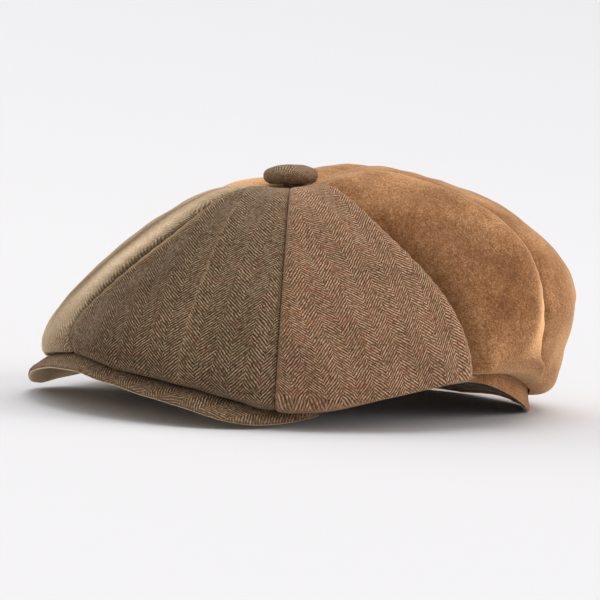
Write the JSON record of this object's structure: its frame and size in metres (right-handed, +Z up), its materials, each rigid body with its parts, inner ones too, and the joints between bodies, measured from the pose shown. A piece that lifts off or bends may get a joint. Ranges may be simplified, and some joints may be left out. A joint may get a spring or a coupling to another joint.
{
  "type": "newsboy cap",
  "caption": "Soft newsboy cap with a full panelled crown gathered under a covered button, a short arched peak and an elastic back.",
  "frame": {"origin": "on the resting plane, on the upright axis of the head opening", "axes": "+Z up, -Y towards the front (peak), +X towards the wearer's left"},
  "size_m": [0.2176, 0.2658, 0.1143],
  "materials": {
    "dark_herringbone": "wool herringbone tweed, dark brown, fuzzy nap",
    "brown_herringbone": "wool herringbone tweed, mid brown, fuzzy nap",
    "light_herringbone": "wool herringbone tweed, light brown, fuzzy nap",
    "tan_melton": "plain milled wool, tan, mottled nap",
    "peak_cloth": "wool herringbone tweed, dark brown",
    "underpeak_cloth": "plain wool, light tan, matte",
    "lining_satin": "woven satin lining, dark brown, soft sheen",
    "sweatband_cotton": "cotton twill band, dark brown",
    "elastic": "ribbed woven elastic, off white",
    "board": "moulded stiffener, off white",
    "shell_metal": "pressed, satin",
    "prong_steel": "zinc plated"
  },
  "bodies": {
    "cap": {"panel_front_left": "dark_herringbone", "panel_side_left": "brown_herringbone", "panel_rear_side_left": "tan_melton", "panel_back_left": "tan_melton", "panel_back_right": "tan_melton", "panel_rear_side_right": "tan_melton", "panel_side_right": "tan_melton", "panel_front_right": "light_herringbone", "head_band": "tan_melton", "sweatband": "sweatband_cotton", "back_elastic": "elastic", "lining_front_left": "lining_satin", "lining_back_left": "lining_satin", "lining_back_right": "lining_satin", "lining_front_right": "lining_satin", "peak_upper_cover": "peak_cloth", "peak_board": "board", "peak_lower_cover": "underpeak_cloth", "apex_washer": "prong_steel"},
    "button": {"button_cover": "peak_cloth", "button_shell": "shell_metal", "button_back_plate": "shell_metal", "button_prong": "prong_steel"}
  },
  "joints": [
    {"name": "button_swivel", "type": "hinge", "parent": "cap", "child": "button", "pos_m": [0, -0.0204, 0.1038], "axis": [0, -0.0872, 0.9962], "continuous": true}
  ]
}
